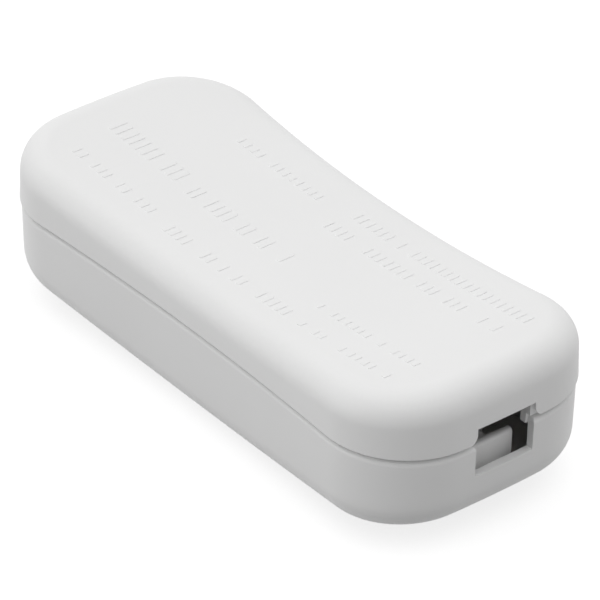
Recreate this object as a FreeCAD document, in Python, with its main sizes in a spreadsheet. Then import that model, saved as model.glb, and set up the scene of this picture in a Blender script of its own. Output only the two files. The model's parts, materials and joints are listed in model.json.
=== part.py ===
import FreeCAD, Part
import math
import os
from types import SimpleNamespace

import Sketcher
from FreeCAD import Placement, Rotation, Vector

# Inline cord switch lying on its rocker side, label face up.
# X runs along the cord, Y across, Z up. The origin is on the rest plane, under the middle.
# Millimetres and degrees.
SIZES = (
    # outer form of the two shells
    ("shell_length", 70.0),
    ("end_width", 31.7),
    ("waist_depth", 1.6),
    ("corner_radius", 9.7),
    ("end_bulge", 0.9),
    ("back_end_height", 7.25),
    ("label_dip", 2.3),
    ("label_round", 3.2),
    ("back_draft", 2.0),
    ("front_end_depth", 9.4),
    ("crown_rise", 2.3),
    ("crown_round", 4.0),
    ("front_draft", 1.1),
    ("rim_inset", 0.2),
    ("wall", 1.8),
    # joint between the shells
    ("rim_gap", 0.45),
    ("back_rim_round", 0.1),
    ("front_rim_round", 0.6),
    ("lip_wall", 0.95),
    ("tongue_depth", 1.25),
    ("fit_gap", 0.05),
    # cord entries and strain relief
    ("entry_width", 7.7),
    ("entry_rise", 1.8),
    ("entry_drop", 4.15),
    ("entry_flare", 1.2),
    ("entry_round", 0.5),
    ("entry_skin", 0.6),
    ("entry_wall", 1.0),
    ("entry_border", 1.0),
    ("throat_width", 7.1),
    ("relief_width", 5.9),
    ("relief_thickness", 1.0),
    ("relief_drop", 2.35),
    ("relief_round", 0.4),
    ("relief_setback", 2.5),
    ("relief_spacing", 4.5),
    ("press_rise", 1.8),
    # rocker well
    ("bezel_rise", 0.3),
    ("bezel_length", 27.5),
    ("bezel_width", 17.6),
    ("bezel_corner", 3.0),
    ("bezel_round", 0.2),
    ("well_gap", 0.35),
    ("well_corner", 1.0),
    ("collar_wall", 1.2),
    ("cheek_wall", 1.5),
    ("collar_height", 7.0),
    # rocker
    ("pivot_height", 4.75),
    ("rocker_throw", 8.0),
    ("rocker_reach", 10.5),
    ("rocker_width", 11.0),
    ("rocker_face_depth", 1.6),
    ("rocker_dish_radius", 14.0),
    ("rocker_tip_round", 0.5),
    ("rocker_skirt", 1.2),
    ("rocker_wall", 1.2),
    ("trunnion_diameter", 2.4),
    ("trunnion_length", 1.7),
    ("running_gap", 0.05),
    # sprung plungers
    ("pole_offset", 3.3),
    ("barrel_height", 4.2),
    ("barrel_wall", 0.8),
    ("plunger_diameter", 2.6),
    ("plunger_foot", 2.0),
    ("plunger_tip", 6.4),
    ("spigot_diameter", 1.2),
    ("spigot_length", 0.8),
    ("spring_diameter", 2.2),
    ("spring_wire", 0.3),
    ("spring_turns", 3.5),
    # see-saw contact arms and their contacts
    ("arm_throw", 8.0),
    ("arm_thickness", 0.8),
    ("arm_width", 4.0),
    ("arm_length", 8.8),
    ("arm_tail", 4.0),
    ("arm_drop", 0.5),
    ("fulcrum_radius", 0.8),
    ("contact_spot", 7.4),
    ("contact_diameter", 2.6),
    ("contact_height", 0.5),
    ("contact_dome", 3.5),
    ("contact_gap", 0.05),
    ("shank_diameter", 1.3),
    # plates that carry the current to the terminals
    ("plate_thickness", 0.8),
    ("plate_width", 4.0),
    ("plate_toe", 1.5),
    ("plate_margin", 0.65),
    ("bead_stand", 0.3),
    # terminals
    ("terminal_offset", 18.0),
    ("block_length", 6.5),
    ("block_width", 5.0),
    ("block_height", 5.9),
    ("block_cover", 0.4),
    ("block_chamfer", 0.3),
    ("slot_depth", 1.2),
    ("wire_hole", 2.4),
    ("wire_drop", 3.7),
    ("wire_depth", 4.2),
    ("screw_diameter", 3.0),
    ("screw_head_diameter", 4.6),
    ("screw_head_height", 1.6),
    ("screw_seat_gap", 0.3),
    ("screw_tip_gap", 0.6),
    ("screw_slot_width", 0.8),
    ("screw_slot_depth", 0.8),
    # ribs, sockets and hooks inside the shells
    ("rib_wall", 1.0),
    ("socket_depth", 2.2),
    ("barrier_depth", 5.5),
    ("guide_gap", 0.3),
    ("guide_depth", 4.9),
    ("saddle_offset", 9.0),
    ("saddle_spacing", 4.5),
    ("holddown_cover", 0.6),
    ("web_drop", 0.5),
    ("hook_offset", 13.0),
    ("hook_width", 5.0),
    ("hook_thickness", 1.2),
    ("hook_reach", 5.0),
    ("hook_barb", 0.8),
    ("hook_barb_height", 1.5),
    ("hook_barb_land", 0.4),
    ("hook_clearance", 0.2),
)


class Size:
    """A length that knows both its number and the sheet expression that gives it."""

    def __init__(self, value, text):
        self.value = float(value)
        self.text = text

    def __add__(self, other):
        other = sized(other)
        return Size(self.value + other.value, f"({self.text} + {other.text})")

    def __sub__(self, other):
        other = sized(other)
        return Size(self.value - other.value, f"({self.text} - {other.text})")

    def __mul__(self, other):
        other = sized(other)
        return Size(self.value * other.value, f"({self.text} * {other.text})")

    def __truediv__(self, other):
        other = sized(other)
        return Size(self.value / other.value, f"({self.text} / {other.text})")

    def __neg__(self):
        return Size(-self.value, f"(-1 * {self.text})")

    def __radd__(self, other):
        return sized(other) + self

    def __rsub__(self, other):
        return sized(other) - self

    def __rmul__(self, other):
        return sized(other) * self


def sized(number):
    return number if isinstance(number, Size) else Size(number, repr(float(number)))


def squared(length):
    return length * length


def root(area):
    return Size(math.sqrt(area.value), f"sqrt({area.text})")


def sine(angle):
    return Size(math.sin(math.radians(angle.value)), f"sin({angle.text} * 1 deg)")


def cosine(angle):
    return Size(math.cos(math.radians(angle.value)), f"cos({angle.text} * 1 deg)")


def arc_radius(half_chord, rise):
    """Radius of the arc that rises by so much over half its chord."""
    return (squared(half_chord) + squared(rise)) / (2 * rise)


document = FreeCAD.newDocument("inline_cord_switch")
sheet = document.addObject("Spreadsheet::Sheet", "Sizes")
for row, (name, value) in enumerate(SIZES, start=1):
    sheet.set(f"A{row}", name)
    sheet.set(f"B{row}", str(value))
    sheet.setAlias(f"B{row}", name)
document.recompute()
d = SimpleNamespace(**{name: Size(getattr(sheet, name), f"Sizes.{name}") for name, value in SIZES})

# Levels and places that several pieces share
HALF_LENGTH = d.shell_length / 2
PARTING = d.bezel_rise + d.crown_rise + d.front_end_depth
FRONT_RIM = PARTING - d.rim_gap
LABEL_MIDDLE = PARTING + d.back_end_height - d.label_dip
INNER_INSET = d.rim_inset + d.wall
FULCRUM = d.pivot_height + d.plunger_tip + d.contact_gap + d.arm_thickness + d.arm_drop
FULCRUM_PLATE = FULCRUM + d.bead_stand
DOME_CENTRE = d.contact_height - d.arm_drop - d.contact_dome
CLOSED_RISE = d.contact_spot * sine(d.arm_throw) + DOME_CENTRE * cosine(d.arm_throw) + d.contact_dome
CONTACT_MEET = d.contact_spot * cosine(d.arm_throw) - DOME_CENTRE * sine(d.arm_throw)
CONTACT_FACE = FULCRUM + CLOSED_RISE + d.contact_gap
CONTACT_PLATE = CONTACT_FACE + d.contact_height
BLOCK_TOP = CONTACT_PLATE + d.plate_thickness + d.block_cover
BLOCK_FOOT = BLOCK_TOP - d.block_height
WIRE_AXIS = BLOCK_TOP - d.wire_drop
BLOCK_INNER_FACE = d.terminal_offset - d.block_length / 2
BLOCK_OUTER_FACE = d.terminal_offset + d.block_length / 2
WELL_HALF_LENGTH = d.rocker_reach + d.well_gap
WELL_HALF_WIDTH = d.rocker_width / 2 + d.well_gap
INSIDE_CEILING = LABEL_MIDDLE - d.wall / 2
INSIDE_FLOOR = d.bezel_rise + d.wall / 2
GUIDE_FACE = d.pole_offset + d.arm_width / 2 + d.guide_gap
GUIDE_OUTSIDE = GUIDE_FACE + d.rib_wall
CUT_MARGIN = sized(1)
ENTRY_REACH = CUT_MARGIN + d.end_bulge + INNER_INSET + CUT_MARGIN
PRESS_MIDDLE = HALF_LENGTH - d.relief_setback - (d.relief_spacing + d.relief_thickness) / 2
HOLD_DOWN_FACE = BLOCK_OUTER_FACE - d.holddown_cover
HOOK_WALL = d.end_width / 2 - d.waist_depth * (1 - squared(d.hook_offset / HALF_LENGTH)) - INNER_INSET
HOOK_TIP = PARTING - d.hook_reach
HOOK_LEDGE = HOOK_TIP + d.hook_barb_height
END_NAME = {1: "near", -1: "far"}
SIDE_NAME = {1: "left", -1: "right"}
ENDS = SIDES = (1, -1)


# Sketching and feature helpers

def new_body(label):
    body = document.addObject("PartDesign::Body", label)
    body.Label = label
    return body


def sketch_on(body, name, role, level=None):
    """Sketch on one of the body's origin planes, raised along its normal by level."""
    plane = next(item for item in body.Origin.OriginFeatures if item.Role == role)
    sketch = body.newObject("Sketcher::SketchObject", name)
    sketch.AttachmentSupport = [(plane, "")]
    sketch.MapMode = "FlatFace"
    if level is not None:
        sketch.setExpression("AttachmentOffset.Base.z", level.text)
    return sketch


def datum(sketch, kind, *places, to):
    """Dimension a sketch with an expression on the sheet."""
    index = sketch.addConstraint(Sketcher.Constraint(kind, *places, to.value))
    sketch.setExpression(f"Constraints[{index}]", to.text)


def pin(sketch, geometry, point, x, y):
    """Fix one point of the geometry at x and y from the sketch's origin."""
    datum(sketch, "DistanceX", -1, 1, geometry, point, to=sized(x))
    datum(sketch, "DistanceY", -1, 1, geometry, point, to=sized(y))


def angle_of(point, centre):
    return math.atan2(point[1] - centre[1], point[0] - centre[0])


def closed_path(sketch, corners):
    """Close a path through the corners; a third entry is the centre of the arc that leads there."""
    spots = [(sized(corner[0]), sized(corner[1])) for corner in corners]
    plain = [(x.value, y.value) for x, y in spots]
    ends = []
    for index, corner in enumerate(corners):
        start, end = plain[index - 1], plain[index]
        if len(corner) == 2:
            line = Part.LineSegment(Vector(*start, 0), Vector(*end, 0))
            ends.append((sketch.addGeometry(line, False), 1, 2))
            continue
        centre = tuple(sized(value).value for value in corner[2])
        radius = math.dist(start, centre)
        first, last = angle_of(start, centre), angle_of(end, centre)
        turns_left = math.sin(last - first) > 0
        if not turns_left:
            first, last = last, first
        if last < first:
            last += 2 * math.pi
        arc = Part.ArcOfCircle(Part.Circle(Vector(*centre, 0), Vector(0, 0, 1), radius), first, last)
        number = sketch.addGeometry(arc, False)
        ends.append((number, 1, 2) if turns_left else (number, 2, 1))
        x, y = spots[index]
        reach = root(squared(x - corner[2][0]) + squared(y - corner[2][1]))
        datum(sketch, "Radius", number, to=reach)
    for index, (number, start, end) in enumerate(ends):
        following = ends[(index + 1) % len(ends)]
        sketch.addConstraint(Sketcher.Constraint("Coincident", number, end, following[0], following[1]))
        pin(sketch, number, end, *spots[index])


def rectangle(sketch, left, right, bottom, top):
    closed_path(sketch, [(left, bottom), (right, bottom), (right, top), (left, top)])


def circle(sketch, x, y, diameter):
    x, y, diameter = sized(x), sized(y), sized(diameter)
    ring = Part.Circle(Vector(x.value, y.value, 0), Vector(0, 0, 1), diameter.value / 2)
    number = sketch.addGeometry(ring, False)
    pin(sketch, number, 3, x, y)
    datum(sketch, "Diameter", number, to=diameter)


def outline(sketch, inset):
    """The waisted plan: bowed ends, hollow sides and round corners, eight tangent arcs."""
    inset = sized(inset)
    side = arc_radius(HALF_LENGTH, d.waist_depth)
    side_centre = d.end_width / 2 - d.waist_depth + side
    end = arc_radius(d.end_width / 2, d.end_bulge)
    end_centre = HALF_LENGTH - end
    # the corner's centre, from its distances to the two arcs that it joins
    span = math.hypot(end_centre.value, side_centre.value)
    to_side = side.value + d.corner_radius.value
    to_end = end.value - d.corner_radius.value
    along = (to_side ** 2 - to_end ** 2 + span ** 2) / (2 * span)
    across = math.sqrt(to_side ** 2 - along ** 2)
    lean_x, lean_y = end_centre.value / span, -side_centre.value / span
    corner_x = along * lean_x - across * lean_y
    corner_y = side_centre.value + along * lean_y + across * lean_x
    from_end = math.atan2(corner_y, corner_x - end_centre.value)
    from_side = math.atan2(side_centre.value - corner_y, -corner_x)
    half = math.pi

    side_radius, end_radius = side + inset, end - inset
    corner_radius = d.corner_radius - inset
    arcs = (
        (end_centre.value, 0.0, end_radius, -from_end, from_end),
        (corner_x, corner_y, corner_radius, from_end, from_side),
        (0.0, side_centre.value, side_radius, -from_side, from_side - half),
        (-corner_x, corner_y, corner_radius, half - from_side, half - from_end),
        (-end_centre.value, 0.0, end_radius, half - from_end, half + from_end),
        (-corner_x, -corner_y, corner_radius, half + from_end, half + from_side),
        (0.0, -side_centre.value, side_radius, half - from_side, from_side),
        (corner_x, -corner_y, corner_radius, -from_side, -from_end),
    )
    numbers = []
    # the hollow sides are the third and the seventh arc, and the outline runs backwards along them
    for x, y, radius, first, last in arcs:
        arc = Part.ArcOfCircle(Part.Circle(Vector(x, y, 0), Vector(0, 0, 1), radius.value), first, last)
        numbers.append(sketch.addGeometry(arc, False))
    for index, number in enumerate(numbers):
        following = numbers[(index + 1) % len(numbers)]
        leaves = 1 if index % 4 == 2 else 2
        meets = 2 if (index + 1) % 4 == 2 else 1
        sketch.addConstraint(Sketcher.Constraint("Tangent", number, leaves, following, meets))
        datum(sketch, "Radius", number, to=arcs[index][2])
    pin(sketch, numbers[0], 3, end_centre, 0)
    pin(sketch, numbers[2], 3, 0, side_centre)
    pin(sketch, numbers[4], 3, -end_centre, 0)
    pin(sketch, numbers[6], 3, 0, -side_centre)


def extrude(kind, body, sketch, length, backwards=False, both_ways=False, draft=None):
    feature = body.newObject(f"PartDesign::{kind}", f"{sketch.Name}_{kind.lower()}")
    feature.Profile = sketch
    feature.setExpression("Length", sized(length).text)
    feature.Reversed = backwards
    feature.Midplane = both_ways
    if draft is not None:
        feature.setExpression("TaperAngle", (-draft).text)
    document.recompute()
    return feature


def pad(body, sketch, length, **ways):
    return extrude("Pad", body, sketch, length, **ways)


def pocket(body, sketch, length, **ways):
    return extrude("Pocket", body, sketch, length, **ways)


def revolve(body, sketch):
    feature = body.newObject("PartDesign::Revolution", f"{sketch.Name}_revolution")
    feature.Profile = sketch
    feature.ReferenceAxis = (sketch, ["V_Axis"])
    feature.Angle = 360
    document.recompute()
    return feature


def finish_edges(kind, body, base, edges, size):
    """Round or chamfer the edges of the last feature that pass the test."""
    names = [f"Edge{number}" for number, edge in enumerate(base.Shape.Edges, start=1) if edges(edge)]
    feature = body.newObject(f"PartDesign::{kind}", f"{base.Name}_{kind.lower()}")
    feature.Base = (base, names)
    feature.setExpression("Radius" if kind == "Fillet" else "Size", size.text)
    document.recompute()
    return feature


def level_with(height):
    """Test for edges that lie wholly at one height."""
    height = sized(height).value
    return lambda edge: abs(edge.BoundBox.ZMin - height) < 1e-4 and abs(edge.BoundBox.ZMax - height) < 1e-4


def around_face(face):
    """Test for the edges of a face."""
    return lambda edge: any(edge.isSame(other) for other in face.Edges)


def upright(edge):
    box = edge.BoundBox
    return box.XLength < 1e-4 and box.YLength < 1e-4 and box.ZLength > 1e-4


def place(body, x=None, y=None, z=None, axis=None, angle=None):
    for name, value in (("x", x), ("y", y), ("z", z)):
        if value is not None:
            body.setExpression(f"Placement.Base.{name}", sized(value).text)
    if axis is not None:
        body.Placement = Placement(body.Placement.Base, Rotation(axis, sized(angle).value))
        body.setExpression("Placement.Rotation.Angle", sized(angle).text + " * 1 deg")
    document.recompute()


# Parts of the shells that repeat

def shell_blank(body, name, level, height, draft, downwards, arch_end, arch_middle, rounding):
    """Waisted block under an arched face, rounded along the arch and hollowed to the wall."""
    plan = sketch_on(body, f"{name}_plan", "XY_Plane", level)
    outline(plan, d.rim_inset if downwards else 0)
    pad(body, plan, height, backwards=downwards, draft=draft)

    # the arch runs past both ends, and what lies beyond it is cut away
    overrun = HALF_LENGTH + 2 * CUT_MARGIN
    bend = arc_radius(HALF_LENGTH, arch_end - arch_middle)
    centre = arch_middle + bend
    edge = centre - root(squared(bend) - squared(overrun))
    away = arch_middle - height if downwards else arch_end + height
    arch = sketch_on(body, f"{name}_arch", "XZ_Plane")
    closed_path(arch, [(-overrun, away), (-overrun, edge), (0, arch_middle, (0, centre)),
                       (overrun, edge, (0, centre)), (overrun, away)])
    arched = pocket(body, arch, 2 * d.end_width, both_ways=True)

    number, outside = arched_face(arched, arch_middle)
    finish_edges("Fillet", body, arched, around_face(outside), rounding)
    hollow = sketch_on(body, f"{name}_hollow", "XY_Plane", level)
    outline(hollow, INNER_INSET)
    cavity = pocket(body, hollow, d.wall, backwards=not downwards)
    cavity.Type = "UpToFace"
    cavity.UpToFace = (arched, [f"Face{number}"])
    cavity.setExpression("Offset", (-d.wall).text)
    document.recompute()
    inside = arched_face(cavity, arch_middle + d.wall if downwards else arch_middle - d.wall)[1]
    return finish_edges("Chamfer", body, cavity, around_face(inside), rounding - d.wall)


def arched_face(feature, middle):
    """Number and face of the arch that passes through the given height over the middle."""
    height = sized(middle).value
    for number, face in enumerate(feature.Shape.Faces, start=1):
        surface = face.Surface
        if surface.TypeId == "Part::GeomCylinder" and abs(surface.Axis.y) > 0.99:
            if abs(surface.Center.z - surface.Radius - height) < 1e-3:
                return number, face
    raise RuntimeError(f"no arched face at {height}")


def entry_sketch(body, name, end):
    """Sketch plane across one cord entry, just outside the end wall."""
    return sketch_on(body, f"{name}_{END_NAME[end]}", "YZ_Plane", end * (HALF_LENGTH + CUT_MARGIN))


# Back shell: carries the label face, the terminals and the contact plates

def back_shell():
    body = new_body("back_shell")
    shell_blank(body, "back", PARTING, d.back_end_height + CUT_MARGIN, d.back_draft, False,
                PARTING + d.back_end_height, LABEL_MIDDLE, d.label_round)

    tongue = sketch_on(body, "tongue", "XY_Plane", PARTING)
    outline(tongue, d.rim_inset + d.lip_wall + d.fit_gap)
    outline(tongue, INNER_INSET)
    feature = pad(body, tongue, d.tongue_depth, backwards=True)
    finish_edges("Chamfer", body, feature, around_outer_loop(widest_face_at(feature, PARTING)),
                 d.back_rim_round)
    back_entries(body)
    snap_hooks(body)
    terminal_sockets(body)

    # chambers: a barrier between the poles and a guide wall outside each
    barrier = sketch_on(body, "barrier", "XY_Plane", BLOCK_TOP - d.barrier_depth)
    rectangle(barrier, -BLOCK_INNER_FACE, BLOCK_INNER_FACE, -d.rib_wall / 2, d.rib_wall / 2)
    pad(body, barrier, INSIDE_CEILING - BLOCK_TOP + d.barrier_depth)
    guides = sketch_on(body, "guides", "XY_Plane", BLOCK_TOP - d.guide_depth)
    rectangle(guides, -BLOCK_INNER_FACE, BLOCK_INNER_FACE, GUIDE_FACE, GUIDE_OUTSIDE)
    rectangle(guides, -BLOCK_INNER_FACE, BLOCK_INNER_FACE, -GUIDE_OUTSIDE, -GUIDE_FACE)
    pad(body, guides, INSIDE_CEILING - BLOCK_TOP + d.guide_depth)

    # saddles: cross ribs on which the four plates seat
    for name, first, second, plate in (
            ("fulcrum_saddles", sized(0), -d.saddle_offset, FULCRUM_PLATE),
            ("contact_saddles", CONTACT_MEET, CONTACT_MEET + d.saddle_spacing, CONTACT_PLATE)):
        seat = plate + d.plate_thickness
        saddles = sketch_on(body, name, "XY_Plane", seat)
        for middle in (first, second):
            rectangle(saddles, middle - d.rib_wall / 2, middle + d.rib_wall / 2,
                      -GUIDE_OUTSIDE, GUIDE_OUTSIDE)
        pad(body, saddles, INSIDE_CEILING - seat)
    return body


def widest_face_at(feature, level):
    """The face of the feature that lies flat at one level and spreads widest."""
    flat = [face for face in feature.Shape.Faces if level_with(level)(face)]
    return max(flat, key=lambda face: face.BoundBox.XLength)


def around_outer_loop(face):
    """Test for the edges of a face's outer loop."""
    return lambda edge: any(edge.isSame(other) for other in face.OuterWire.Edges)


def back_entries(body):
    """Mouths of the cord entries in the back shell and the ribs that press on the cord behind them."""
    half, flare = d.entry_width / 2, d.entry_flare
    for end in ENDS:
        mouth = entry_sketch(body, "back_mouth", end)
        closed_path(mouth, [
            (-half - flare, PARTING - CUT_MARGIN),
            (half + flare, PARTING - CUT_MARGIN),
            (half + flare, PARTING),
            (half, PARTING + flare, (half + flare, PARTING + flare)),
            (half, PARTING + d.entry_rise),
            (-half, PARTING + d.entry_rise),
            (-half, PARTING + flare),
            (-half - flare, PARTING, (-half - flare, PARTING + flare)),
        ])
        pocket(body, mouth, d.entry_skin + CUT_MARGIN, backwards=end < 0)

        throat = entry_sketch(body, "back_throat", end)
        rectangle(throat, -d.throat_width / 2, d.throat_width / 2,
                  PARTING - d.tongue_depth - CUT_MARGIN, PARTING + d.entry_rise)
        pocket(body, throat, ENTRY_REACH, backwards=end < 0)

    press = sketch_on(body, "press_ribs", "XY_Plane", PARTING + d.press_rise)
    for end in ENDS:
        crosswise(press, end, PRESS_MIDDLE - d.relief_thickness / 2, PRESS_MIDDLE + d.relief_thickness / 2,
                  -d.throat_width / 2, d.throat_width / 2)
    pad(body, press, INSIDE_CEILING + d.label_dip / 2 - PARTING - d.press_rise)


def crosswise(sketch, end, inner, outer, low, high):
    """Rectangle between two distances from the middle, on the near or the far end."""
    if end > 0:
        rectangle(sketch, inner, outer, low, high)
    else:
        rectangle(sketch, -outer, -inner, low, high)


def snap_hooks(body):
    """Springy hooks along the side walls, with barbs that catch in the front shell."""
    outer = HOOK_WALL - d.hook_clearance
    root_face = HOOK_WALL + (d.wall - d.lip_wall) / 2
    path = [
        (outer - d.hook_thickness, INSIDE_CEILING),
        (outer - d.hook_thickness, HOOK_TIP),
        (outer, HOOK_TIP),
        (outer + d.hook_barb, HOOK_LEDGE - d.hook_barb_land),
        (outer + d.hook_barb, HOOK_LEDGE),
        (outer, HOOK_LEDGE),
        (outer, PARTING - d.tongue_depth),
        (root_face, PARTING - d.tongue_depth),
        (root_face, INSIDE_CEILING),
    ]
    for end in ENDS:
        hooks = sketch_on(body, f"hooks_{END_NAME[end]}", "YZ_Plane", end * d.hook_offset)
        for side in SIDES:
            closed_path(hooks, [(side * y, z) for y, z in path])
        pad(body, hooks, d.hook_width, both_ways=True)


def terminal_sockets(body):
    """Two bosses with two sockets each, open towards the middle, that hold the terminal blocks."""
    half = d.block_width / 2 + d.fit_gap
    spread = d.pole_offset + half + d.rib_wall
    outer = BLOCK_OUTER_FACE + d.fit_gap
    bosses = sketch_on(body, "socket_bosses", "XY_Plane", BLOCK_TOP - d.socket_depth)
    for end in ENDS:
        crosswise(bosses, end, BLOCK_INNER_FACE, outer + d.rib_wall, -spread, spread)
    pad(body, bosses, INSIDE_CEILING - BLOCK_TOP + d.socket_depth)
    sockets = sketch_on(body, "sockets", "XY_Plane", BLOCK_TOP)
    for end in ENDS:
        for side in SIDES:
            middle = side * d.pole_offset
            crosswise(sockets, end, BLOCK_INNER_FACE - CUT_MARGIN, outer, middle - half, middle + half)
    pocket(body, sockets, d.socket_depth + CUT_MARGIN)


# Front shell: carries the rocker in its well and clamps the cord

def front_shell():
    body = new_body("front_shell")
    shell_blank(body, "front", FRONT_RIM, FRONT_RIM + CUT_MARGIN, d.front_draft, True,
                d.bezel_rise + d.crown_rise, d.bezel_rise, d.crown_round)

    recess = sketch_on(body, "tongue_recess", "XY_Plane", FRONT_RIM)
    outline(recess, d.rim_inset + d.lip_wall)
    feature = pocket(body, recess, d.tongue_depth - d.rim_gap)
    finish_edges("Fillet", body, feature, around_outer_loop(widest_face_at(feature, FRONT_RIM)),
                 d.front_rim_round)
    front_entries(body)
    hook_recesses(body)
    rocker_well(body)
    return body


def front_entries(body):
    """Mouths of the cord entries in the front shell, strain-relief ribs and hold-down walls."""
    half, turn = d.entry_width / 2, d.entry_round
    for end in ENDS:
        mouth = entry_sketch(body, "front_mouth", end)
        closed_path(mouth, [
            (-half, PARTING - d.entry_drop),
            (half, PARTING - d.entry_drop),
            (half, FRONT_RIM - turn),
            (half + turn, FRONT_RIM, (half + turn, FRONT_RIM - turn)),
            (half + turn, FRONT_RIM + CUT_MARGIN),
            (-half - turn, FRONT_RIM + CUT_MARGIN),
            (-half - turn, FRONT_RIM),
            (-half, FRONT_RIM - turn, (-half - turn, FRONT_RIM - turn)),
        ])
        pocket(body, mouth, ENTRY_REACH, backwards=end < 0)

        # the wall is thinner round the mouth, taken away from inside
        thinning = sketch_on(body, f"front_thinning_{END_NAME[end]}", "YZ_Plane",
                             end * (HALF_LENGTH - d.rim_inset - d.entry_wall))
        rectangle(thinning, -half - d.entry_border, half + d.entry_border,
                  PARTING - d.entry_drop - d.entry_border, FRONT_RIM + CUT_MARGIN)
        pocket(body, thinning, d.wall - d.entry_wall + CUT_MARGIN, backwards=end < 0)

    # two ribs with rounded crests across each cord, and a lower web along it between them
    crest, turn = PARTING - d.relief_drop, d.relief_round
    outer_rib = HALF_LENGTH - d.relief_setback
    inner_rib = outer_rib - d.relief_spacing
    ribs = sketch_on(body, "relief_ribs", "XZ_Plane")
    for end in ENDS:
        for face in (outer_rib, inner_rib):
            foot = level_in_floor(face - d.relief_thickness)
            near, far = end * (face - d.relief_thickness), end * face
            closed_path(ribs, [
                (near, foot),
                (far, foot),
                (far, crest - turn),
                (far - end * turn, crest, (far - end * turn, crest - turn)),
                (near + end * turn, crest),
                (near, crest - turn, (near + end * turn, crest - turn)),
            ])
    pad(body, ribs, d.relief_width, both_ways=True)
    for name, near, far, half_width, top in (
            ("relief_webs", inner_rib - d.relief_thickness / 2, outer_rib - d.relief_thickness / 2,
             d.relief_thickness / 2, crest - d.web_drop),
            ("hold_downs", HOLD_DOWN_FACE, HOLD_DOWN_FACE + d.rib_wall, GUIDE_OUTSIDE, BLOCK_FOOT)):
        foot = level_in_floor(near)
        walls = sketch_on(body, name, "XY_Plane", foot)
        for end in ENDS:
            crosswise(walls, end, near, far, -half_width, half_width)
        pad(body, walls, top - foot)


def level_in_floor(distance):
    """Height halfway into the front shell's arched floor, at a distance from the middle."""
    return INSIDE_FLOOR + d.crown_rise * squared(distance / HALF_LENGTH)


def hook_recesses(body):
    """Pockets in the side walls in which the hooks' barbs catch."""
    near, far = HOOK_WALL - d.hook_thickness, HOOK_WALL - d.hook_clearance + d.hook_barb + 2 * d.fit_gap
    low, high = HOOK_TIP - d.hook_clearance, HOOK_LEDGE + d.fit_gap
    for end in ENDS:
        recesses = sketch_on(body, f"hook_recesses_{END_NAME[end]}", "YZ_Plane", end * d.hook_offset)
        for side in SIDES:
            closed_path(recesses, [(side * near, low), (side * far, low), (side * far, high),
                                   (side * near, high)])
        pocket(body, recesses, d.hook_width + 2 * d.hook_clearance, both_ways=True)


def rocker_well(body):
    """Flat bezel round the rocker, the collar behind it and the trunnion bearings in its cheeks."""
    bezel = sketch_on(body, "bezel", "XY_Plane")
    rectangle(bezel, -d.bezel_length / 2, d.bezel_length / 2, -d.bezel_width / 2, d.bezel_width / 2)
    feature = pad(body, bezel, INSIDE_FLOOR)
    corner = (d.bezel_length / 2, d.bezel_width / 2)
    feature = finish_edges("Fillet", body, feature, upright_at(*corner), d.bezel_corner)

    collar = sketch_on(body, "collar", "XY_Plane", INSIDE_FLOOR)
    half_length, half_width = WELL_HALF_LENGTH + d.collar_wall, WELL_HALF_WIDTH + d.cheek_wall
    rectangle(collar, -half_length, half_length, -half_width, half_width)
    pad(body, collar, d.collar_height - INSIDE_FLOOR)

    window = sketch_on(body, "window", "XY_Plane", d.collar_height + CUT_MARGIN)
    rectangle(window, -WELL_HALF_LENGTH, WELL_HALF_LENGTH, -WELL_HALF_WIDTH, WELL_HALF_WIDTH)
    feature = pocket(body, window, d.collar_height + 2 * CUT_MARGIN)
    feature = finish_edges("Fillet", body, feature, upright_at(WELL_HALF_LENGTH, WELL_HALF_WIDTH),
                           d.well_corner)
    finish_edges("Fillet", body, feature, level_with(0), d.bezel_round)

    bearing = sketch_on(body, "trunnion_bearing", "XZ_Plane")
    circle(bearing, 0, d.pivot_height, d.trunnion_diameter + 2 * d.running_gap)
    pocket(body, bearing, 2 * half_width + CUT_MARGIN, both_ways=True)


def upright_at(x, y):
    """Test for upright edges at plus or minus x and y."""
    x, y = sized(x).value, sized(y).value

    def test(edge):
        box = edge.BoundBox
        return upright(edge) and abs(abs(box.XMin) - x) < 1e-3 and abs(abs(box.YMin) - y) < 1e-3
    return test


# Rocker and what rides in it, drawn about the trunnion axis in the middle position

def seat_on_rocker(body, side=0):
    """Put a piece that is drawn about the trunnion axis at the rocker's OFF position."""
    place(body, y=side * d.pole_offset, z=d.pivot_height, axis=Vector(0, 1, 0), angle=-d.rocker_throw)


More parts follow.
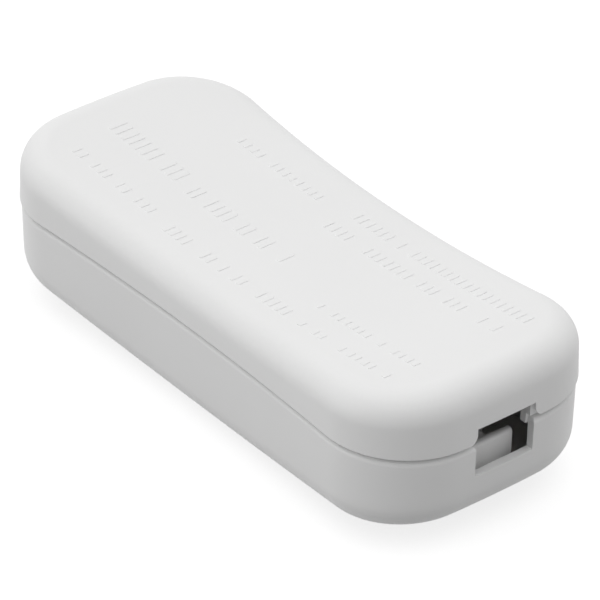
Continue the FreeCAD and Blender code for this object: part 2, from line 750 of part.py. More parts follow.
def rocker():
    body = new_body("rocker")
    lean = sine(d.rocker_throw) / cosine(d.rocker_throw)
    steep = 1 + squared(lean)
    tip_x = (root(squared(d.rocker_face_depth * lean)
                  - steep * (squared(d.rocker_face_depth) - squared(d.rocker_reach)))
             - d.rocker_face_depth * lean) / steep
    tip_z = -d.rocker_face_depth - tip_x * lean
    skirt_x = root(squared(d.rocker_reach) - squared(d.rocker_skirt))
    profile = sketch_on(body, "rocker_profile", "XZ_Plane")
    closed_path(profile, [
        (0, -d.rocker_face_depth),
        (tip_x, tip_z),
        (skirt_x, d.rocker_skirt, (0, 0)),
        (-skirt_x, d.rocker_skirt),
        (-tip_x, tip_z, (0, 0)),
    ])
    feature = pad(body, profile, d.rocker_width, both_ways=True)
    feature = finish_edges("Fillet", body, feature,
                           lambda edge: lies_at(edge, 0, -d.rocker_face_depth), d.rocker_dish_radius)
    finish_edges("Fillet", body, feature,
                 lambda edge: lies_at(edge, tip_x, tip_z) or lies_at(edge, -tip_x, tip_z),
                 d.rocker_tip_round)

    floor = -d.rocker_face_depth + d.rocker_wall
    hollow = sketch_on(body, "rocker_hollow", "XY_Plane", d.rocker_skirt + CUT_MARGIN)
    inside, across = d.rocker_reach - 2 * d.rocker_wall, d.rocker_width / 2 - d.rocker_wall
    rectangle(hollow, -inside, inside, -across, across)
    pocket(body, hollow, d.rocker_skirt + CUT_MARGIN - floor)

    axle = sketch_on(body, "axle", "XZ_Plane")
    circle(axle, 0, 0, d.trunnion_diameter)
    pad(body, axle, d.rocker_width + 2 * d.trunnion_length, both_ways=True)

    bore = d.plunger_diameter + 2 * d.running_gap
    for side in SIDES:
        barrel = sketch_on(body, f"barrel_{SIDE_NAME[side]}", "XY_Plane", floor)
        circle(barrel, 0, side * d.pole_offset, bore + 2 * d.barrel_wall)
        pad(body, barrel, d.barrel_height - floor)
        well = sketch_on(body, f"barrel_bore_{SIDE_NAME[side]}", "XY_Plane", d.barrel_height)
        circle(well, 0, side * d.pole_offset, bore)
        pocket(body, well, d.barrel_height)
    seat_on_rocker(body)
    return body


def lies_at(edge, x, z):
    """True for an edge across the piece at one x and z."""
    box = edge.BoundBox
    return (box.XLength < 1e-4 and box.ZLength < 1e-4 and abs(box.XMin - sized(x).value) < 1e-3
            and abs(box.ZMin - sized(z).value) < 1e-3)


def plunger(side):
    body = new_body(f"plunger_{SIDE_NAME[side]}")
    profile = sketch_on(body, "plunger_profile", "XZ_Plane")
    radius, spigot = d.plunger_diameter / 2, d.spigot_diameter / 2
    closed_path(profile, [
        (0, d.plunger_foot - d.spigot_length),
        (spigot, d.plunger_foot - d.spigot_length),
        (spigot, d.plunger_foot),
        (radius, d.plunger_foot),
        (radius, d.plunger_tip - radius),
        (0, d.plunger_tip, (0, d.plunger_tip - radius)),
    ])
    revolve(body, profile)
    seat_on_rocker(body, side)
    return body


def plunger_spring(side):
    """Compression spring in the barrel, from its floor to the plunger's shoulder."""
    half_wire = d.spring_wire.value / 2
    radius = d.spring_diameter.value / 2 - half_wire
    start = half_wire + d.fit_gap.value
    length = d.plunger_foot.value - 2 * start
    helix = Part.makeHelix(length / d.spring_turns.value, length, radius)
    helix.translate(Vector(0, 0, start))
    corners = [Vector(radius + half_wire * math.cos(turn), 0, start + half_wire * math.sin(turn))
               for turn in (math.pi / 2 * quarter for quarter in range(5))]
    coil = Part.Wire(helix.Edges).makePipeShell([Part.makePolygon(corners)], True, True)
    feature = document.addObject("Part::Feature", f"plunger_spring_{SIDE_NAME[side]}")
    feature.Shape = coil
    seat_on_rocker(feature, side)
    return feature


# See-saw contact arms, drawn about the fulcrum axis in the middle position

def seat_on_fulcrum(body, side):
    """Put a piece of the see-saw at its OFF position, contact end away from the contact plate."""
    place(body, y=side * d.pole_offset, z=FULCRUM, axis=Vector(0, 1, 0), angle=d.arm_throw)


def contact_arm(side):
    body = new_body(f"contact_arm_{SIDE_NAME[side]}")
    profile = sketch_on(body, "arm_profile", "XZ_Plane")
    groove = d.fulcrum_radius + d.running_gap
    groove_x = root(squared(groove) - squared(d.arm_drop))
    closed_path(profile, [
        (-d.arm_tail, -d.arm_drop - d.arm_thickness),
        (d.arm_length, -d.arm_drop - d.arm_thickness),
        (d.arm_length, -d.arm_drop),
        (groove_x, -d.arm_drop),
        (-groove_x, -d.arm_drop, (0, 0)),
        (-d.arm_tail, -d.arm_drop),
    ])
    pad(body, profile, d.arm_width, both_ways=True)
    hole = sketch_on(body, "contact_hole", "XY_Plane", sized(0))
    circle(hole, d.contact_spot, 0, d.shank_diameter + 2 * d.running_gap)
    pocket(body, hole, d.arm_drop + d.arm_thickness + CUT_MARGIN)
    seat_on_fulcrum(body, side)
    return body


def moving_contact(side):
    """Domed contact riveted through the arm."""
    body = new_body(f"moving_contact_{SIDE_NAME[side]}")
    radius, shank = d.contact_diameter / 2, d.shank_diameter / 2
    edge = d.contact_height - d.contact_dome + root(squared(d.contact_dome) - squared(radius))
    profile = sketch_on(body, "moving_profile", "XZ_Plane")
    closed_path(profile, [
        (0, -d.arm_thickness),
        (shank, -d.arm_thickness),
        (shank, 0),
        (radius, 0),
        (radius, edge),
        (0, d.contact_height, (0, d.contact_height - d.contact_dome)),
    ])
    revolve(body, profile)
    rivet_place(body, side, d.contact_spot, -d.arm_drop)
    return body


def rivet_place(body, side, along, across):
    """Put a rivet on the tilted arm, at so much along it and across it from the fulcrum axis."""
    lean = d.arm_throw
    place(body, x=along * cosine(lean) + across * sine(lean), y=side * d.pole_offset,
          z=FULCRUM - along * sine(lean) + across * cosine(lean), axis=Vector(0, 1, 0), angle=lean)


# Plates and their fixed contacts, drawn about the fulcrum axis

def fulcrum_plate(side):
    body = new_body(f"fulcrum_plate_{SIDE_NAME[side]}")
    profile = sketch_on(body, "fulcrum_profile", "XZ_Plane")
    low, high = d.bead_stand, d.bead_stand + d.plate_thickness
    bead, end = d.fulcrum_radius, -BLOCK_INNER_FACE - d.slot_depth
    closed_path(profile, [
        (end, low),
        (-bead, low),
        (-bead, 0),
        (0, -bead, (0, 0)),
        (bead, 0, (0, 0)),
        (bead, low),
        (d.plate_toe, low),
        (d.plate_toe, high),
        (end, high),
    ])
    pad(body, profile, d.plate_width, both_ways=True)
    place(body, y=side * d.pole_offset, z=FULCRUM)
    return body


def contact_plate(side):
    body = new_body(f"contact_plate_{SIDE_NAME[side]}")
    strip = sketch_on(body, "contact_strip", "XY_Plane")
    rectangle(strip, CONTACT_MEET - d.contact_diameter / 2 - d.plate_margin, BLOCK_INNER_FACE + d.slot_depth,
              -d.plate_width / 2, d.plate_width / 2)
    pad(body, strip, d.plate_thickness)
    hole = sketch_on(body, "fixed_hole", "XY_Plane", d.plate_thickness)
    circle(hole, CONTACT_MEET, 0, d.shank_diameter + 2 * d.running_gap)
    pocket(body, hole, d.plate_thickness)
    place(body, y=side * d.pole_offset, z=CONTACT_PLATE)
    return body


def fixed_contact(side):
    """Flat contact riveted to the contact plate from below."""
    body = new_body(f"fixed_contact_{SIDE_NAME[side]}")
    radius, shank = d.contact_diameter / 2, d.shank_diameter / 2
    profile = sketch_on(body, "fixed_profile", "XZ_Plane")
    closed_path(profile, [
        (0, -d.contact_height),
        (radius, -d.contact_height),
        (radius, 0),
        (shank, 0),
        (shank, d.plate_thickness),
        (0, d.plate_thickness),
    ])
    revolve(body, profile)
    place(body, x=CONTACT_MEET, y=side * d.pole_offset, z=CONTACT_PLATE)
    return body


# Terminals

def terminal_block(end, side):
    """Brass block with a wire hole from outside, a plate slot inside and a screw hole below."""
    body = new_body(f"terminal_{END_NAME[end]}_{SIDE_NAME[side]}")
    half = d.block_length / 2
    plan = sketch_on(body, "block_plan", "XY_Plane", BLOCK_FOOT)
    rectangle(plan, -half, half, -d.block_width / 2, d.block_width / 2)
    feature = pad(body, plan, d.block_height)
    finish_edges("Chamfer", body, feature, upright, d.block_chamfer)

    wire = sketch_on(body, "wire_hole", "YZ_Plane", half)
    circle(wire, 0, WIRE_AXIS, d.wire_hole)
    pocket(body, wire, d.wire_depth)

    screw = sketch_on(body, "screw_hole", "XY_Plane", BLOCK_FOOT)
    circle(screw, 0, 0, d.screw_diameter + 2 * d.running_gap)
    pocket(body, screw, WIRE_AXIS - BLOCK_FOOT, backwards=True)

    level = CONTACT_PLATE if end > 0 else FULCRUM_PLATE
    slot = sketch_on(body, "plate_slot", "YZ_Plane", -half)
    reach = d.plate_width / 2 + d.fit_gap
    rectangle(slot, -reach, reach, level - d.fit_gap, level + d.plate_thickness + d.fit_gap)
    pocket(body, slot, d.slot_depth + d.fit_gap, backwards=True)
    face_outwards(body, end, side)
    return body


def face_outwards(body, end, side):
    """Stand a terminal piece at its end, its wire side turned to the cord entry."""
    if end < 0:
        body.Placement = Placement(Vector(), Rotation(Vector(0, 0, 1), 180))
    place(body, x=end * d.terminal_offset, y=side * d.pole_offset)


def terminal_screw(end, side):
    """Slotted cheese-head screw that clamps the wire from below."""
    body = new_body(f"screw_{END_NAME[end]}_{SIDE_NAME[side]}")
    head_top = BLOCK_FOOT - d.screw_seat_gap
    head = sketch_on(body, "screw_head", "XY_Plane", head_top - d.screw_head_height)
    circle(head, 0, 0, d.screw_head_diameter)
    pad(body, head, d.screw_head_height)
    shank = sketch_on(body, "screw_shank", "XY_Plane", head_top)
    circle(shank, 0, 0, d.screw_diameter)
    pad(body, shank, WIRE_AXIS - d.screw_tip_gap - head_top)
    slot = sketch_on(body, "screw_slot", "XY_Plane", head_top - d.screw_head_height)
    half_slot = d.screw_slot_width / 2
    rectangle(slot, -d.screw_head_diameter, d.screw_head_diameter, -half_slot, half_slot)
    pocket(body, slot, d.screw_slot_depth, backwards=True)
    face_outwards(body, end, side)
    return body


# The switch, put together

pieces = [back_shell(), front_shell(), rocker()]
for pole in SIDES:
    for make in (plunger, plunger_spring, contact_arm, moving_contact,
                 fulcrum_plate, contact_plate, fixed_contact):
        pieces.append(make(pole))
    for cord_end in ENDS:
        pieces.append(terminal_block(cord_end, pole))
        pieces.append(terminal_screw(cord_end, pole))
document.recompute()

for item in document.Objects:
    if "Invalid" in item.State or "Error" in item.State:
        raise RuntimeError(f"{item.Label}: {item.State}")
    before = getattr(item, "BaseFeature", None)
    sign = {"PartDesign::Pad": 1, "PartDesign::Pocket": -1}.get(item.TypeId)
    if sign and before and sign * (item.Shape.Volume - before.Shape.Volume) < 1e-6:
        raise RuntimeError(f"{item.Label} changes nothing")
for piece in pieces:
    if piece.Shape.isNull() or not piece.Shape.isValid() or len(piece.Shape.Solids) != 1:
        raise RuntimeError(f"{piece.Label} is not one valid solid")

os.makedirs("parts", exist_ok=True)
for piece in pieces:
    piece.Shape.exportStep(f"parts/{piece.Label}.step")
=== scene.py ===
import json
import math

import bmesh
import bpy
from mathutils import Matrix, Vector


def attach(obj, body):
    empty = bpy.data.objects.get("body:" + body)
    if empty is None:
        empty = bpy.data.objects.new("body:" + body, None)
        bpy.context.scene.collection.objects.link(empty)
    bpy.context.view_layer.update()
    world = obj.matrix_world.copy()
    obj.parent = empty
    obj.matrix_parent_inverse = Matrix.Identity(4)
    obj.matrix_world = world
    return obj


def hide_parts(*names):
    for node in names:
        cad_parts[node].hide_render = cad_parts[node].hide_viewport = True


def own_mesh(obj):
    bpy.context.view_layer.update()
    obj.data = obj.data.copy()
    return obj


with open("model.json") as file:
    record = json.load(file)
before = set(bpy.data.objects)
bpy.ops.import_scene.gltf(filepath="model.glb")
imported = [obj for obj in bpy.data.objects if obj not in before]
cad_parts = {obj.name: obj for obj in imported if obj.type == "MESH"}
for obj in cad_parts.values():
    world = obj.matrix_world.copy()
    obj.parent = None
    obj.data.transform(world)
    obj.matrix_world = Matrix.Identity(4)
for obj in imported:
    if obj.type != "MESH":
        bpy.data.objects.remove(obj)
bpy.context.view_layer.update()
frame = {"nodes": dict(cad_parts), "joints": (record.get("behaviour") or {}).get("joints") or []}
nodes = frame["nodes"]

# Back and front shell: two satin white mouldings in polycarbonate, snapped together on a tongue and
# groove. Their skin is spark-eroded very fine, so it shines softly and has no grain to the eye. Noise
# scales are in grains per metre, and depths and distances in metres.
CLOUD_SCALE = 60.0
PIT_SCALE = 1500.0
SKIN_SCALE = 5200.0
SKIN_SHARE = 0.7
SKIN_DEPTH = 0.00002
SKIN_STRENGTH = 0.18
CLOUD_GLOSS = 0.06
PIT_GLOSS = 0.05
MERGE_DISTANCE = 2e-6
SLIVER_LENGTH = 1e-7


class Field:
    """A socket of a node tree that can stand in sums, products and powers."""

    def __init__(self, tree, socket=None):
        self.tree = tree
        self.socket = socket

    def node(self, kind, inputs=None, output=0, **settings):
        """Add a node with its settings, then its sockets' values or links, and give one of its outputs."""
        made = self.tree.nodes.new(kind)
        for name, value in settings.items():
            setattr(made, name, value)
        for name, value in (inputs or {}).items():
            if isinstance(value, Field):
                self.tree.links.new(value.socket, made.inputs[name])
            else:
                made.inputs[name].default_value = value
        return Field(self.tree, made.outputs[output])

    def beside(self, output):
        """Another output of the node that this one comes from."""
        return Field(self.tree, self.socket.node.outputs[output])

    def maths(self, operation, first, second):
        return self.node("ShaderNodeMath", {0: first, 1: second}, operation=operation)

    def __add__(self, other):
        return self.maths("ADD", self, other)

    def __sub__(self, other):
        return self.maths("SUBTRACT", self, other)

    def __rsub__(self, other):
        return self.maths("SUBTRACT", other, self)

    def __mul__(self, other):
        return self.maths("MULTIPLY", self, other)

    def __pow__(self, other):
        return self.maths("POWER", self, other)

    __radd__ = __add__
    __rmul__ = __mul__


def surface(name, **constants):
    """A material and the output of its one shader, whose constants are set on the shader's sockets."""
    material = bpy.data.materials.new(name)
    material.use_nodes = True
    shader = material.node_tree.nodes["Principled BSDF"]
    for socket, value in constants.items():
        shader.inputs[socket.replace("_", " ")].default_value = value
    return material, Field(material.node_tree, shader.outputs["BSDF"])


def feed(shader, **fields):
    """Link what varies over the surface to the shader's sockets."""
    for socket, field in fields.items():
        shader.tree.links.new(field.socket, shader.socket.node.inputs[socket.replace("_", " ")])


def noise(place, scale, detail=2.0, roughness=0.5):
    return place.node("ShaderNodeTexNoise",
                      {"Vector": place, "Scale": scale, "Detail": detail, "Roughness": roughness})


def two_tone(factor, first, second):
    """Mix of two colours, by the number of the sockets, because the Mix node has several of each name."""
    return factor.node("ShaderNodeMix", {0: factor, 6: first, 7: second}, output=2, data_type="RGBA")


def satin_plastic(name, light, shade, gloss=0.4):
    """Moulded plastic: faint flow clouding, a fine eroded skin and slightly uneven gloss."""
    material, shader = surface(name, IOR=1.5, Specular_IOR_Level=0.45)
    place = shader.node("ShaderNodeTexCoord", output="Object")
    clouds = noise(place, CLOUD_SCALE, detail=3.0)
    skin = noise(place, SKIN_SCALE, detail=3.0, roughness=0.6)
    pits = noise(place, PIT_SCALE)
    height = skin * SKIN_SHARE + pits * (1 - SKIN_SHARE)
    bump = height.node("ShaderNodeBump",
                       {"Height": height, "Strength": SKIN_STRENGTH, "Distance": SKIN_DEPTH})
    feed(shader,
         Base_Color=two_tone(clouds, light, shade),
         Roughness=gloss + clouds * CLOUD_GLOSS + pits * PIT_GLOSS,
         Normal=bump)
    return material


def placed(name, data):
    """An object at the origin for a mesh, a lamp or a camera."""
    piece = bpy.data.objects.new(name, data)
    bpy.context.scene.collection.objects.link(piece)
    return piece


def smooth_copy(node, material, body, sharp_from=32):
    """Merged copy of a CAD node, smoothly shaded between its sharp edges, that stands for the node."""
    mesh = nodes[node].data.copy()
    mesh.name = f"{node}_skin"
    form = bmesh.new()
    form.from_mesh(mesh)
    bmesh.ops.remove_doubles(form, verts=form.verts, dist=MERGE_DISTANCE)
    bmesh.ops.dissolve_degenerate(form, edges=form.edges, dist=SLIVER_LENGTH)
    form.to_mesh(mesh)
    form.free()
    if mesh.has_custom_normals:
        mesh.attributes.remove(mesh.attributes["custom_normal"])
    mesh.materials.clear()
    mesh.materials.append(material)
    mesh.shade_smooth()
    mesh.set_sharp_from_angle(angle=math.radians(sharp_from))
    piece = placed(f"{node}_skin", mesh)
    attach(piece, body)
    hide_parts(node)
    return piece


white_plastic = satin_plastic("white_plastic", light=(0.86, 0.86, 0.858, 1), shade=(0.83, 0.83, 0.828, 1))
for shell in ("back_shell", "front_shell"):
    smooth_copy(shell, white_plastic, "housing")

# Marks on the label face: rows of short bars in low relief, moulded with the back shell in the same
# plastic. They stand 0.07 mm proud and follow the face's hollow. A row is its first and last x, its y
# and the height of its bars, in millimetres.
MARK_ROWS = (
    (0.8, 28.2, 8.3, 1.7),
    (0.2, 27.2, 4.9, 1.7),
    (-9.4, 10.6, -9.1, 1.7),
    (12.0, 27.2, -5.7, 1.1),
    (13.4, 19.9, -9.3, 1.1),
    (21.3, 26.9, -9.3, 1.1),
    (-26.4, -13.2, -8.6, 1.4),
    (-18.0, -4.6, 7.4, 1.3),
    (-27.6, -16.4, -2.2, 2.6),
    (-13.6, 2.4, -2.7, 2.4),
)
BAR_VALUES = {
    "Spacing": 0.00105,
    "Width": 0.00045,
    "Height": 0.001,
    "Corner": 0.00012,
    "Relief": 0.00012,
    "Crown": 0.82,
    "Narrowest": 0.7,
    "Widest": 1.7,
    "Share": 0.82,
    "Hollow Radius": 0.26745,
    "Middle Height": 0.01695,
    "Sunk": 0.00005,
}
CORNER_STEPS = 3
BAR_SEED = 11

row_ends = [(x, y, tall) for first, last, y, tall in MARK_ROWS for x in (first, last)]
row_mesh = bpy.data.meshes.new("label_marks")
row_mesh.from_pydata([(x / 1000, y / 1000, 0) for x, y, tall in row_ends],
                     [(end, end + 1) for end in range(0, len(row_ends), 2)], [])
bar_height = row_mesh.attributes.new("tall", "FLOAT", "POINT")
bar_height.data.foreach_set("value", [tall for x, y, tall in row_ends])
marks = placed("label_marks", row_mesh)

bars = bpy.data.node_groups.new("raised_bars", "GeometryNodeTree")
bars.interface.new_socket("Rows", in_out="INPUT", socket_type="NodeSocketGeometry")
bars.interface.new_socket("Marks", in_out="OUTPUT", socket_type="NodeSocketGeometry")
for value_name in BAR_VALUES:
    bars.interface.new_socket(value_name, in_out="INPUT", socket_type="NodeSocketFloat")
bars.interface.new_socket("Seed", in_out="INPUT", socket_type="NodeSocketInt")
bars.interface.new_socket("Material", in_out="INPUT", socket_type="NodeSocketMaterial")
blank = Field(bars)


def given(name):
    """One of the bars' named inputs."""
    return blank.node("NodeGroupInput", output=name)


# One bar: a rounded plan, raised and drawn in at its crown
plan = blank.node("GeometryNodeCurvePrimitiveQuadrilateral",
                  {"Width": given("Width"), "Height": given("Height")})
plan = plan.node("GeometryNodeFilletCurve",
                 {"Curve": plan, "Radius": given("Corner"), "Count": CORNER_STEPS}, mode="POLY")
plan = plan.node("GeometryNodeFillCurve", {"Curve": plan}, mode="NGONS")
bar = plan.node("GeometryNodeExtrudeMesh", {"Mesh": plan, "Offset Scale": given("Relief")})
bar = bar.node("GeometryNodeScaleElements",
               {"Geometry": bar, "Selection": bar.beside("Top"), "Scale": given("Crown")})

# Bars of uneven width along each row, with some left out. The Random Value node's sockets 2 and 3 are
# its smallest and largest number, and its outputs 1 and 3 a number and a choice.
line = bar.node("GeometryNodeMeshToCurve", {0: given("Rows")})
line = line.node("GeometryNodeResampleCurve", {"Curve": line, "Length": given("Spacing")}, mode="LENGTH")
wide = line.node("FunctionNodeRandomValue",
                 {2: given("Narrowest"), 3: given("Widest"), "Seed": given("Seed")}, output=1)
tall = line.node("GeometryNodeInputNamedAttribute", {"Name": "tall"}, data_type="FLOAT")
stretch = line.node("ShaderNodeCombineXYZ", {0: wide, 1: tall, 2: 1.0})
kept = line.node("FunctionNodeRandomValue", {"Probability": given("Share"), "Seed": given("Seed") + 1},
                 output=3, data_type="BOOLEAN")
block = line.node("GeometryNodeInstanceOnPoints",
                  {"Points": line, "Selection": kept, "Instance": bar, "Scale": stretch})
block = block.node("GeometryNodeRealizeInstances", {0: block})

# The lift from level ground to the hollow face, which is an arc along x
along = block.node("ShaderNodeSeparateXYZ", {0: block.node("GeometryNodeInputPosition")})
radius = given("Hollow Radius")
arch = given("Middle Height") + radius - (radius * radius - along * along) ** 0.5 - given("Sunk")
lift = block.node("ShaderNodeCombineXYZ", {0: 0.0, 1: 0.0, 2: arch})
block = block.node("GeometryNodeSetPosition", {"Geometry": block, "Offset": lift})
block = block.node("GeometryNodeSetMaterial", {"Geometry": block, "Material": given("Material")})
bars.links.new(block.socket, bars.nodes.new("NodeGroupOutput").inputs["Marks"])


def set_in_mesh(piece, group, values):
    """Run a geometry node group on a piece and keep what it makes as the piece's own mesh."""
    modifier = piece.modifiers.new(group.name, "NODES")
    modifier.node_group = group
    for socket in group.interface.items_tree:
        if socket.name in values:
            modifier[socket.identifier] = values[socket.name]
    bpy.context.view_layer.update()
    made = bpy.data.meshes.new_from_object(piece.evaluated_get(bpy.context.evaluated_depsgraph_get()))
    piece.modifiers.remove(modifier)
    piece.data = made


set_in_mesh(marks, bars, dict(BAR_VALUES, Seed=BAR_SEED, Material=white_plastic))
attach(marks, "housing")

# Rocker: one white moulding of the same plastic, hinged on its trunnions in the front shell's well.
# A bar and a ring, moulded on its two halves as half-round ridges, show on and off.
smooth_copy("rocker", white_plastic, "rocker")

FACE_BELOW_TRUNNIONS = 0.0016
RIDGE_HALF_WIDTH = 0.00028
RIDGE_HEIGHT = 0.0002
RIDGE_SUNK = 0.00003
ARC_STEPS = 8
CAP_TURNS = (30, 55, 75, 89)
ON_MARK_STOPS = (-0.0086, -0.0075, -0.0064, -0.0054)
RING_MIDDLE = 0.007
RING_RADIUS = 0.0015
RING_STEPS = 48

joints = {joint["name"]: joint for joint in frame["joints"]}
tilt = joints["rocker_tilt"]
LEAN = math.radians(tilt["range_deg"][1] / 2)
middle_to_rest = Matrix.Translation(tilt["pos_m"]) @ Matrix.Rotation(-LEAN, 4, "Y")


def cap(station, sign):
    """Stations past one end of an open ridge, each narrower than the one before."""
    spot, heading, size = station
    turns = [math.radians(degrees) for degrees in CAP_TURNS]
    return [(spot + heading * sign * RIDGE_HALF_WIDTH * math.sin(turn), heading, math.cos(turn))
            for turn in turns]


def half_round(form, station):
    """Arc across a ridge, from face to face. The face leans away to both sides of the trunnions."""
    spot, heading, size = station
    across = Vector((-heading.y, heading.x, 0))
    arc = []
    for step in range(ARC_STEPS + 1):
        turn = math.pi * step / ARC_STEPS
        point = spot + across * RIDGE_HALF_WIDTH * size * math.cos(turn)
        face = -FACE_BELOW_TRUNNIONS - abs(point.x) * math.tan(LEAN)
        sunk = RIDGE_SUNK if step in (0, ARC_STEPS) else 0
        point.z = face - RIDGE_HEIGHT * size * math.sin(turn) + sunk
        arc.append(form.verts.new(middle_to_rest @ point))
    return arc


def ridge(name, path, closed):
    """Half-round ridge along a path on the rocker's face, with rounded ends where it is open."""
    stations = []
    for number, spot in enumerate(path):
        before = path[number - 1] if closed or number else spot
        after = path[(number + 1) % len(path)] if closed or number < len(path) - 1 else spot
        stations.append((spot, (after - before).normalized(), 1.0))
    if not closed:
        stations = cap(stations[0], -1)[::-1] + stations + cap(stations[-1], 1)
    form = bmesh.new()
    arcs = [half_round(form, station) for station in stations]
    if closed:
        arcs.append(arcs[0])
    for first, second in zip(arcs, arcs[1:]):
        for step in range(ARC_STEPS):
            form.faces.new((first[step], first[step + 1], second[step + 1], second[step]))
    bmesh.ops.recalc_face_normals(form, faces=form.faces)
    mesh = bpy.data.meshes.new(name)
    form.to_mesh(mesh)
    form.free()
    mesh.materials.append(white_plastic)
    mesh.shade_smooth()
    piece = placed(name, mesh)
    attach(piece, "rocker")


ridge("on_mark", [Vector((x, 0, 0)) for x in ON_MARK_STOPS], closed=False)
ring_turns = [math.tau * step / RING_STEPS for step in range(RING_STEPS)]
ridge("off_mark", [Vector((RING_MIDDLE + RING_RADIUS * math.cos(turn), RING_RADIUS * math.sin(turn), 0))
                   for turn in ring_turns], closed=True)

# Plungers: two acetal pins, each with a round, polished tip. They slide in the rocker's barrels and roll
# over the contact arms.
acetal = satin_plastic("acetal", light=(0.78, 0.76, 0.7, 1), shade=(0.74, 0.72, 0.66, 1), gloss=0.3)
for side in ("left", "right"):
    smooth_copy(f"plunger_{side}", acetal, f"plunger_{side}")

# Metal parts: pressed brass strip, machined brass blocks, silver contacts and zinc-plated screws. Each
# keeps its CAD form and gets its own surface.
GRAIN_DEPTH = 0.00002
GRAIN_STRENGTH = 0.15
GRAIN_GLOSS = 0.12
TARNISH_SCALE = 350.0
TARNISH_GLOSS = 0.08


def worked_metal(name, light, shade, gloss, scale, stretch):
    """Metal with a fine grain from rolling or turning, drawn out along one axis, and a light tarnish."""
    material, shader = surface(name, Metallic=1.0)
    place = shader.node("ShaderNodeTexCoord", output="Object")
    drawn = place.node("ShaderNodeVectorMath", {0: place, 1: stretch}, operation="MULTIPLY")
    grain = noise(drawn, scale, detail=4.0, roughness=0.6)
    tarnish = noise(place, TARNISH_SCALE, detail=3.0)
    bump = grain.node("ShaderNodeBump",
                      {"Height": grain, "Strength": GRAIN_STRENGTH, "Distance": GRAIN_DEPTH})
    feed(shader,
         Base_Color=two_tone(tarnish, light, shade),
         Roughness=gloss + grain * GRAIN_GLOSS + tarnish * TARNISH_GLOSS,
         Normal=bump)
    return material


strip_brass = worked_metal("strip_brass", light=(0.83, 0.62, 0.28, 1), shade=(0.7, 0.5, 0.22, 1),
                           gloss=0.2, scale=900.0, stretch=(1, 12, 12))
cut_brass = worked_metal("cut_brass", light=(0.85, 0.66, 0.33, 1), shade=(0.74, 0.55, 0.25, 1),
                         gloss=0.22, scale=2600.0, stretch=(6, 1, 1))
silver = worked_metal("silver", light=(0.9, 0.89, 0.87, 1), shade=(0.78, 0.76, 0.72, 1),
                      gloss=0.18, scale=1500.0, stretch=(1, 1, 1))
zinc = worked_metal("zinc", light=(0.75, 0.76, 0.78, 1), shade=(0.62, 0.63, 0.65, 1),
                    gloss=0.24, scale=2200.0, stretch=(1, 1, 4))
METALS = {
    "contact_arm": strip_brass,
    "fulcrum_plate": strip_brass,
    "contact_plate": strip_brass,
    "moving_contact": silver,
    "fixed_contact": silver,
    "terminal": cut_brass,
    "screw": zinc,
}
for name, node in nodes.items():
    for kind, metal in METALS.items():
        if name.startswith(kind):
            for slot in node.material_slots:
                slot.material = metal

# Plunger springs: drawn steel wire, wound with closed ends. Each stands on the floor of a barrel in the
# rocker.
spring_steel = worked_metal("spring_steel", light=(0.6, 0.6, 0.6, 1), shade=(0.45, 0.45, 0.46, 1),
                            gloss=0.28, scale=1800.0, stretch=(1, 1, 1))
for side in ("left", "right"):
    spring = smooth_copy(f"plunger_spring_{side}", spring_steel, "rocker", sharp_from=60)
    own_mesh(spring)

# Floor: a sheet of white paper that looks plain white to the camera and still takes the object's
# shadow. From beneath it is clear to the camera, so that the rocker shows from below.
FLOOR_REACH = 3
FLOOR_LEVEL = -0.00002
PAPER_GREY = (0.36, 0.36, 0.36, 1)
PAPER_GLOW = 0.77
WHITE = (1, 1, 1, 1)


def seen_by(field, kind):
    """1 for one kind of ray, such as those from the camera, and 0 for the others."""
    return field.node("ShaderNodeLightPath", output=f"Is {kind} Ray")


def background_rays(field):
    """1 for the rays that show the background itself: from the camera, off gloss and through glass."""
    return seen_by(field, "Camera") + seen_by(field, "Glossy") + seen_by(field, "Transmission")


def mixed(factor, first, second):
    return factor.node("ShaderNodeMixShader", {0: factor, 1: first, 2: second})


def show(shader, output):
    """Link a shader to the surface of the tree's output node."""
    shader.tree.links.new(shader.socket, shader.tree.nodes[output].inputs["Surface"])


paper, lit = surface("paper", Base_Color=PAPER_GREY, Roughness=1.0, Specular_IOR_Level=0.0)
glow = lit.node("ShaderNodeEmission", {"Color": WHITE, "Strength": PAPER_GLOW})
bright = lit.node("ShaderNodeAddShader", {0: lit, 1: glow})
upper_side = mixed(background_rays(lit), lit, bright)
beneath = lit.node("ShaderNodeNewGeometry", output="Backfacing") * seen_by(lit, "Camera")
show(mixed(beneath, upper_side, lit.node("ShaderNodeBsdfTransparent")), "Material Output")

floor_mesh = bpy.data.meshes.new("floor")
floor_mesh.from_pydata([(x * FLOOR_REACH, y * FLOOR_REACH, FLOOR_LEVEL)
                        for x, y in ((-1, -1), (1, -1), (1, 1), (-1, 1))], [], [(0, 1, 2, 3)])
floor_mesh.materials.append(paper)
placed("floor", floor_mesh)

# Sky: a white cloth tent that lights the object softly from all round, most from overhead. It is dim on
# the camera's side, so that the two near sides are in soft shade, and it looks plain white itself.
HORIZON_LIGHT = 0.5
ZENITH_LIGHT = 0.9
DUSK_LIGHT = 0.1
DUSK_SHARE = 0.9
DUSK_TOWARDS = (0.7, -0.7, 0.1)
PLAIN_WHITE = 1.0

world = bpy.data.worlds.new("studio")
bpy.context.scene.world = world
world.use_nodes = True
sky = Field(world.node_tree)


def cloth(strength):
    return sky.node("ShaderNodeBackground", {"Color": WHITE, "Strength": strength})


def clamped(field):
    return field.node("ShaderNodeClamp", {0: field})


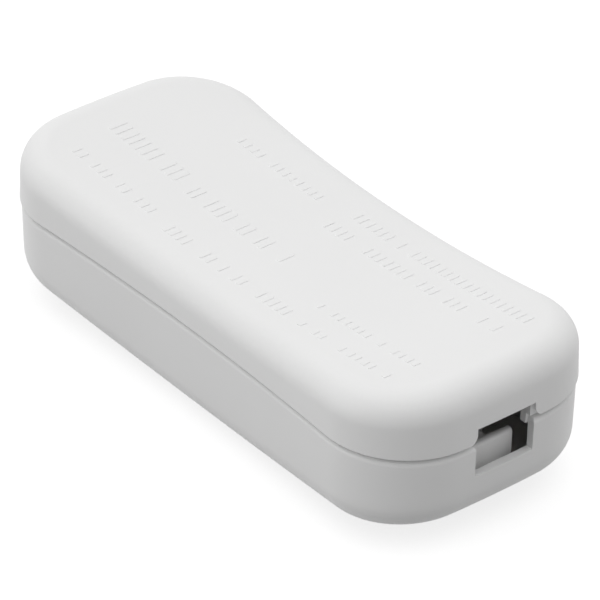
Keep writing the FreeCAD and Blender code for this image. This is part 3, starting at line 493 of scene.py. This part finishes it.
direction = sky.node("ShaderNodeTexCoord", output="Generated")
height = sky.node("ShaderNodeSeparateXYZ", {0: direction}, output="Z")
tent = mixed(clamped(height), cloth(HORIZON_LIGHT), cloth(ZENITH_LIGHT))
facing = clamped(sky.node("ShaderNodeVectorMath", {0: direction, 1: DUSK_TOWARDS}, output="Value",
                          operation="DOT_PRODUCT"))
tent = mixed(facing * facing * facing * DUSK_SHARE, tent, cloth(DUSK_LIGHT))
show(mixed(background_rays(sky), tent, cloth(PLAIN_WHITE)), "World Output")

# Lamps: two soft boxes, each a frame with a white cloth over its bulbs. The broad one hangs overhead and
# evens out the label face, and the low one stands on the left and lifts the long near side.


def soft_box(name, position, target, size, power):
    """Rectangular lamp that points from its position at a target."""
    light = bpy.data.lights.new(name, "AREA")
    light.shape = "RECTANGLE"
    light.size, light.size_y = size
    light.energy = power
    lamp = placed(name, light)
    lamp.location = position
    lamp.rotation_euler = (Vector(target) - Vector(position)).to_track_quat("-Z", "Y").to_euler()


soft_box("overhead", position=(0, -0.02, 0.6), target=(0, 0, 0), size=(0.8, 0.8), power=1.1)
soft_box("side", position=(-0.25, -0.6, 0.15), target=(0, 0, 0.01), size=(0.5, 0.3), power=0.8)

# Camera: a long lens above the near right corner, at the photograph's viewing angle. Its distance,
# roll and shifts were fitted to the object's outline, its seam and the mouth of the cord entry.
AZIMUTH = math.radians(50.9)
ELEVATION = math.radians(33.89)
ROLL = math.radians(0.865)
DISTANCE = 0.44875
SHIFT_RIGHT = 0.00097
SHIFT_UP = -0.00237
MIDDLE_HEIGHT = 0.0121
FOCAL_LENGTH = 254.18
SENSOR_WIDTH = 36
CLIP_START = 0.01

towards = Vector((math.sin(AZIMUTH) * math.cos(ELEVATION), -math.cos(AZIMUTH) * math.cos(ELEVATION),
                  math.sin(ELEVATION)))
level = Vector((math.cos(AZIMUTH), math.sin(AZIMUTH), 0))
upward = towards.cross(level)
right = level * math.cos(ROLL) + upward * math.sin(ROLL)
up = upward * math.cos(ROLL) - level * math.sin(ROLL)
stand = towards * DISTANCE + right * SHIFT_RIGHT + up * SHIFT_UP + Vector((0, 0, MIDDLE_HEIGHT))
lens = bpy.data.cameras.new("camera")
lens.sensor_width = SENSOR_WIDTH
lens.lens = FOCAL_LENGTH
lens.clip_start = CLIP_START
camera = placed("camera", lens)
camera.matrix_world = Matrix.Translation(stand) @ Matrix((right, up, towards)).transposed().to_4x4()
bpy.context.scene.camera = camera
bpy.context.scene.view_settings.view_transform = "Standard"
